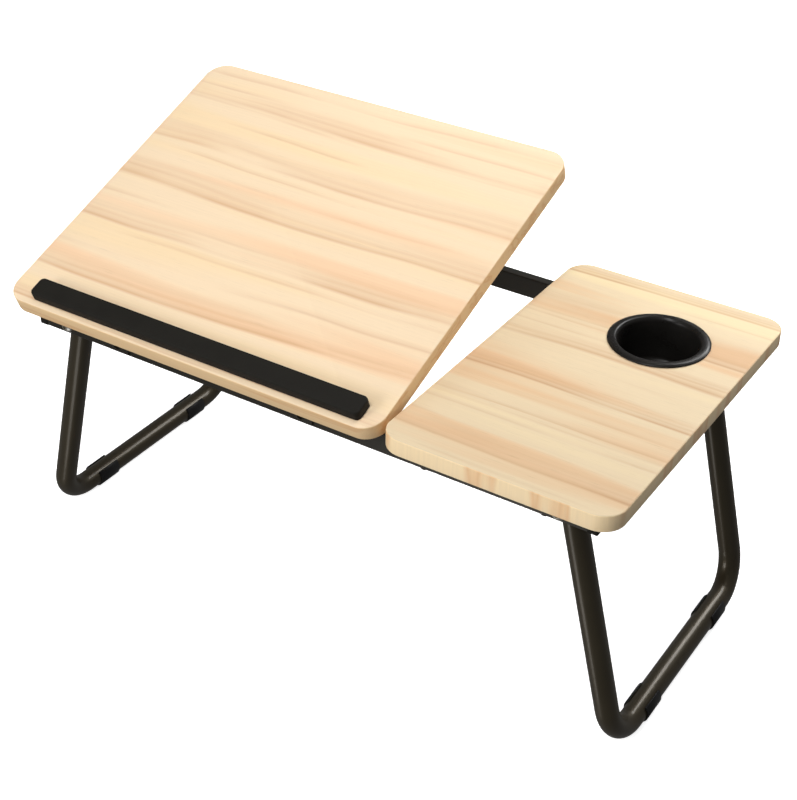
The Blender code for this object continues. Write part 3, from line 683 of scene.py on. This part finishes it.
def track_weld(side, end, sign):
    """A short run of weld under the end of a slotted angle."""
    low, high = box_in(f"track_bar_{side}")
    rail_low, rail_high = box_in(f"{end}_rail")
    wall = rail_high.y if sign < 0 else rail_low.y
    radius, short_of_edge, steps = 0.0013, 0.003, 30
    start, stop = low.x + short_of_edge, high.x - short_of_edge
    z = rail_high.z - TRACK_THICKNESS - radius * 0.7
    y = wall - sign * radius * 0.7
    path = [(start + (stop - start) * i / steps, y, z) for i in range(steps + 1)]

    def swell(i):
        """Ripples along the run, and thin ends."""
        ripple = 1.0 + 0.10 * math.cos(math.pi * i)
        return 0.35 * ripple if i in (0, steps) else ripple

    run = pipe("weld_run", path, radius, (0, 1, 0), sides=16, swell=swell)
    extra(f"track_weld_{end}_{side}", run, "weld", "frame")


# ------------------------------------------------------------------ fasteners

def cross_recess(size, depth, at):
    """Cutters for a cross slot that opens down -Z at the height given."""
    wide, narrow = size, size * 0.26
    bottom, top = at - CLEAR, at + depth
    return [brick("slot", (-a, -b, bottom), (a, b, top)) for a, b in ((wide, narrow), (narrow, wide))]


def pan_head(name, head, height, shank, length):
    """A pan-head screw with a cross recess, its shank up +Z from the underside of the head."""
    root, neck, point, unthreaded = shank - THREAD_DEPTH, 0.0016, 0.0012, 0.0030
    rise, crest, fall = 0.00030, 0.00038, 0.00068       # where one thread's flanks and crest end
    outline = [(0.0, -height), (0.60 * head, -height), (head, -0.45 * height), (head, 0.0), (shank, 0.0)]
    body = fillet(outline, 0.0006)
    for turn in range(int((length - unthreaded) / THREAD_PITCH)):
        z = neck + THREAD_PITCH * turn
        body += [(root, z), (shank, z + rise), (shank, z + crest), (root, z + fall)]
    body += [(root, length - point), (0.0, length)]
    return cut(lathe(name, body, sides=28), *cross_recess(0.52 * head, 0.55 * height, -height))


def wood_screws():
    for family, shank in SCREW_SHANKS.items():
        names = sorted(name for name in frame["nodes"] if name.startswith(family) and "screw" in name)
        place, look = (STAY, "black_zinc") if family == "side_board" else (READING, "zinc")
        head_height = SCREW_HEAD_HEIGHTS[family]
        low, high = box_in(names[0], place)
        shape = smooth(pan_head(f"{family}_screw", (high.x - low.x) / 2, head_height, shank,
                                high.z - low.z - head_height))
        for name in names:
            low, high = box_in(name, place)
            at = Matrix.Translation(((low.x + high.x) / 2, (low.y + high.y) / 2, low.z + head_height))
            finished(f"{name}_piece", shape, look, name, place @ at)


def button_bolt(head, length):
    """A button-head bolt with a hexagon socket, its shank up +Z from the underside of the head."""
    height, chamfer = BOLT_HEAD_HEIGHT, 0.0005
    outline = [(0.0, -height), (0.45 * head, -height), (0.92 * head, -0.45 * height), (head, -0.1 * height),
               (head, 0.0), (BOLT_RADIUS, 0.0), (BOLT_RADIUS, length - chamfer),
               (BOLT_RADIUS - chamfer, length), (0.0, length)]
    bolt = lathe("pivot_bolt", fillet(outline, 0.0007), sides=48)
    radius, depth, point = 0.0022, 0.0016, 0.0003
    mouth, floor = -height - CLEAR, depth - height
    socket = lathe("socket", [(0.0, mouth), (radius, mouth), (radius, floor), (0.0, floor + point)], sides=6)
    return smooth(cut(bolt, socket), 30)


def leg_bolts():
    """A bolt, a nut and a washer at each of the legs' pivots."""
    low, high = box_in("pivot_bolt_front_left")
    shape = button_bolt((high.x - low.x) / 2, high.y - low.y - BOLT_HEAD_HEIGHT)
    for end, sign in ENDS.items():
        for side in SIDES:
            name = f"{end}_{side}"
            low, high = box_in(f"pivot_bolt_{name}")
            seat = low.y + BOLT_HEAD_HEIGHT if sign < 0 else high.y - BOLT_HEAD_HEIGHT
            turn = Y_FOR_Z if sign < 0 else MINUS_Y_FOR_Z
            at = Matrix.Translation(((low.x + high.x) / 2, seat, (low.z + high.z) / 2))
            finished(f"pivot_bolt_{name}_piece", shape, "zinc", f"pivot_bolt_{name}", at @ turn)
            softened(f"pivot_nut_{name}", "zinc", arris=0.0005)
            softened(f"pivot_washer_{name}", "nylon", arris=0.0002)


# ------------------------------------------------------------------ legs

def leg_path(length):
    """The leg's U in its own coordinates: the pivots are on Y and the leg hangs down -Z."""
    straight, bend_steps = 6, 22
    upright = [LEG_TOP + (LEG_BEND - length - LEG_TOP) * i / straight for i in range(straight)]
    points = [(0.0, -LEG_Y, z) for z in upright]
    for sign in (-1, 1):
        middle = (sign * (LEG_Y - LEG_BEND), LEG_BEND - length)
        for step in range(bend_steps + 1):
            turned = math.pi / 2 * step / bend_steps
            angle = math.pi + turned if sign < 0 else 1.5 * math.pi + turned
            y, z = middle[0] + LEG_BEND * math.cos(angle), middle[1] + LEG_BEND * math.sin(angle)
            points.append((0.0, y, z))
    return points + [(0.0, LEG_Y, z) for z in reversed(upright)]


def leg(side):
    """One leg's tube, bored for its two bolts, and the sleeves on its bottom run."""
    sole_low, sole_high = box_in(f"foot_sleeve_front_{side}")
    bottom = Vector(((sole_low.x + sole_high.x) / 2, 0.0, sole_low.z + SOLE_DROP))
    pivot = Vector(JOINTS[f"{side}_leg_fold"]["pos_m"])
    run = bottom - Vector((pivot.x, 0.0, pivot.z))
    splay = math.atan2(run.x, -run.z)
    place = Matrix.Translation((pivot.x, 0.0, pivot.z)) @ Matrix.Rotation(-splay, 4, "Y")
    tube = pipe(f"{side}_leg", leg_path(run.length), LEG_RADIUS, (1, 0, 0), sides=56, wall=LEG_WALL)
    reach = LEG_RADIUS + CLEAR
    bores = [drill(BOLT_RADIUS + GAP, (0, y - reach, 0), (0, y + reach, 0), sides=32)
             for y in (-LEG_Y, LEG_Y)]
    finished(f"{side}_leg_tube", smooth(cut(tube, *bores), 40), "bronze", f"{side}_leg", place)
    for end in ENDS:
        foot_sleeve(f"foot_sleeve_{end}_{side}", bottom.x)


def foot_sleeve(name, x):
    """An open rubber sleeve that grips the tube from below, with round lips and a flat sole."""
    low, high = box_in(name)
    half = (high.y - low.y) / 2
    outer, inner = (high.x - low.x) / 2, LEG_RADIUS + GAP / 2
    arc_steps, lip_steps = 72, 10

    def at(radius, angle):
        return Vector((radius * math.cos(angle), radius * math.sin(angle)))

    def section(inset, y):
        thick, middle = (outer - inner) / 2 - inset, (outer + inner) / 2
        lip = thick / middle
        start, stop = math.pi / 2 + SLEEVE_OPENING + lip, 2.5 * math.pi - SLEEVE_OPENING - lip
        angles = [start + (stop - start) * i / arc_steps for i in range(arc_steps + 1)]
        turns = [math.pi * i / lip_steps for i in range(1, lip_steps)]
        points = [at(middle + thick, angle) for angle in angles]
        points += [at(middle, stop) + thick * at(1.0, stop + turn) for turn in turns]
        points += [at(middle - thick, angle) for angle in reversed(angles)]
        points += [at(middle, start) - thick * at(1.0, start + turn) for turn in turns]
        return [body.verts.new((u, y, max(v, inset - SOLE_DROP))) for u, v in points]

    body = bmesh.new()
    bevel = 0.0003
    rings = [section(inset, y) for inset, y in
             ((bevel, -half), (0.0, bevel - half), (0.0, half - bevel), (bevel, half))]
    skin(body, rings)
    body.faces.new(rings[0])
    body.faces.new(rings[-1])
    place = Matrix.Translation((x, (low.y + high.y) / 2, low.z + SOLE_DROP))
    finished(f"{name}_piece", smooth(to_mesh(name, body), 50), "rubber", name, place)


# ------------------------------------------------------------------ hinges and prop

def pin(cad_node):
    """A round bar along X with chamfered ends."""
    name, chamfer = f"{cad_node}_piece", 0.0004
    low, high = box_in(cad_node)
    middle = (low + high) / 2
    half, radius = (high.x - low.x) / 2, (high.z - low.z) / 2
    outline = [(0.0, -half), (radius - chamfer, -half), (radius, chamfer - half), (radius, half - chamfer),
               (radius - chamfer, half), (0.0, half)]
    finished(name, lathe(name, outline, sides=32), "zinc", cad_node, Matrix.Translation(middle) @ X_FOR_Z)


def hinges():
    for side in SIDES:
        softened(f"hinge_ear_{side}", "black_steel", arris=0.0003)
        softened(f"hinge_block_{side}", "nylon", arris=0.0005, place=READING)
        pin(f"hinge_pin_{side}")


def prop():
    for side in SIDES:
        softened(f"prop_bracket_{side}", "zinc", arris=0.0003, place=READING)
    pin("prop_pivot_rod")
    pin("prop_foot_rod")
    for side in SIDES:
        arm(side)
    softened("foot_rod_nut", "zinc", arris=0.0005)
    knob()


def arm(side):
    """A flat bar with round ends between the prop's two rods."""
    pivot = Vector(JOINTS["prop_fold"]["pos_m"])
    foot = Vector(JOINTS["knob_turn"]["pos_m"])
    run = Vector((0.0, foot.y - pivot.y, foot.z - pivot.z))
    slope = math.atan2(run.z, run.y)
    low, high = box_in(f"prop_arm_{side}")
    half_thick = (high.x - low.x) / 2
    start = Vector((-ARM_HALF_WIDTH, -ARM_HALF_WIDTH, -half_thick))
    stop = Vector((run.length + ARM_HALF_WIDTH, ARM_HALF_WIDTH, half_thick))
    bar = slab(f"arm_{side}", start, stop, ARM_HALF_WIDTH - 0.00005, 0.0004, 0.0004, corner_steps=12,
               arris_steps=3)
    reach = half_thick + CLEAR
    holes = [drill(radius + GAP, (along, 0, -reach), (along, 0, reach), sides=32)
             for radius, along in ((PIVOT_ROD_RADIUS, 0.0), (FOOT_ROD_RADIUS, run.length))]
    lie = Matrix(((0, 0, 1, 0), (1, 0, 0, 0), (0, 1, 0, 0), (0, 0, 0, 1)))   # X to Y, Y to Z, Z to X
    at = Matrix.Translation(((low.x + high.x) / 2, pivot.y, pivot.z))
    place = at @ Matrix.Rotation(slope, 4, "X") @ lie
    finished(f"prop_arm_{side}_piece", smooth(cut(bar, *holes), 50), "black_steel", f"prop_arm_{side}", place)


def knob():
    """A clamp knob with five round lobes and a raised middle."""
    low, high = box_in("clamp_knob")
    foot = JOINTS["knob_turn"]["pos_m"]
    place = Matrix.Translation((low.x, foot[1], foot[2])) @ X_FOR_Z
    length, bore, lead_in = high.x - low.x, FOOT_ROD_RADIUS + GAP, 0.0012
    reach, hollow = 0.010, 0.16     # radius at the lobes, and the share of it that is missing between them
    outline = [(bore, lead_in), (bore + lead_in, 0.0), (0.62 * reach, 0.0002), (0.93 * reach, 0.0022),
               (reach, 0.0060), (reach, 0.0095), (0.90 * reach, length - 0.0020),
               (0.60 * reach, length - 0.0016), (0.56 * reach, length), (bore, length)]

    def lobed(angle, radius):
        """Five lobes at the rim, which fade out towards the round bore."""
        outwards = (radius - bore) / (reach - bore)
        return 1.0 - hollow * outwards * (1.0 - math.cos(5 * angle)) / 2

    rounded = fillet(outline, 0.0014, closed=True)
    shape = lathe("clamp_knob", rounded, sides=120, closed=True, lobes=lobed)
    finished("clamp_knob_piece", shape, "plastic", "clamp_knob", place)


# ------------------------------------------------------------------ studio and camera

def backdrop(name, sheets, glow, base):
    """White sheets that the camera sees, but that neither stop light nor wash out the table's dark parts."""
    body = bmesh.new()
    for corners in sheets:
        body.faces.new([body.verts.new(corner) for corner in corners])
    screen = bpy.data.objects.new(name, to_mesh(name, body))
    material, shader = blank(name, (base, base, base), 0.9)
    shader.inputs["Emission Color"].default_value = (1.0, 1.0, 1.0, 1.0)
    shader.inputs["Emission Strength"].default_value = glow
    screen.data.materials.append(material)
    bpy.context.scene.collection.objects.link(screen)
    screen.visible_diffuse = screen.visible_glossy = screen.visible_shadow = False


def studio():
    reach, height, z = 18.0, 20.0, -0.0002      # near enough for the far corners to stay in a camera's range
    low = [(-reach, -reach, z), (reach, -reach, z), (reach, reach, z), (-reach, reach, z)]
    high = [(x, y, height) for x, y, _ in low]
    walls = [(low[i - 1], low[i], high[i], high[i - 1]) for i in range(4)]
    backdrop("studio_floor", [low], 0.83, 0.82)
    backdrop("studio_walls", walls, 1.0, 0.0)

    world = bpy.data.worlds.new("studio_air")
    world.use_nodes = True
    sky = world.node_tree.nodes["Background"]
    sky.inputs["Color"].default_value = (1.0, 1.0, 1.0, 1.0)
    sky.inputs["Strength"].default_value = 0.21
    bpy.context.scene.world = world

    softbox("key_light", (0.05, -1.1, 2.4), (0.5, 2.0), 35.0)
    softbox("front_light", (-1.1, -2.2, 0.8), (1.0, 1.0), 26.0)
    softbox("floor_bounce", (-0.15, -0.85, -0.5), (0.35, 0.35), 1.5)
    softbox("back_light", (0.32, 0.8, 0.9), (0.4, 0.6), 9.5)


def softbox(name, where, size, power):
    """A lamp of the width and height given. It faces the middle of the table and isn't seen itself."""
    light = bpy.data.lights.new(name, "AREA")
    light.shape = "RECTANGLE"
    light.size, light.size_y = size
    light.energy = power
    lamp = bpy.data.objects.new(name, light)
    lamp.location = where
    middle = Vector((0.0, 0.0, 0.2))
    lamp.rotation_euler = (middle - Vector(where)).to_track_quat("-Z", "Y").to_euler()
    lamp.visible_camera = False
    bpy.context.scene.collection.objects.link(lamp)


def camera():
    """Looks down on the table from in front, to the user's right."""
    azimuth, elevation, roll = math.radians(32.23), math.radians(33.27), math.radians(0.94)
    place, lens, sensor = (0.6408, -1.0019, 0.9488), 70.53, 36.0
    back = Vector((math.sin(azimuth) * math.cos(elevation), -math.cos(azimuth) * math.cos(elevation),
                   math.sin(elevation)))
    across = Vector((math.cos(azimuth), math.sin(azimuth), 0.0))
    up = back.cross(across)
    right = across * math.cos(roll) + up * math.sin(roll)
    upright = up * math.cos(roll) - across * math.sin(roll)
    data = bpy.data.cameras.new("camera")
    data.sensor_width = sensor
    data.lens = lens
    made = bpy.data.objects.new("camera", data)
    turn = Matrix((right, upright, back)).transposed().to_4x4()
    made.matrix_world = Matrix.Translation(place) @ turn
    bpy.context.scene.collection.objects.link(made)
    bpy.context.scene.camera = made


camera()
studio()
reading_board()
side_board()
ledge()
cup_holder()
rails_and_bars()
wood_screws()
leg_bolts()
for leg_side in SIDES:
    leg(leg_side)
hinges()
prop()
bpy.context.scene.view_settings.view_transform = "Standard"
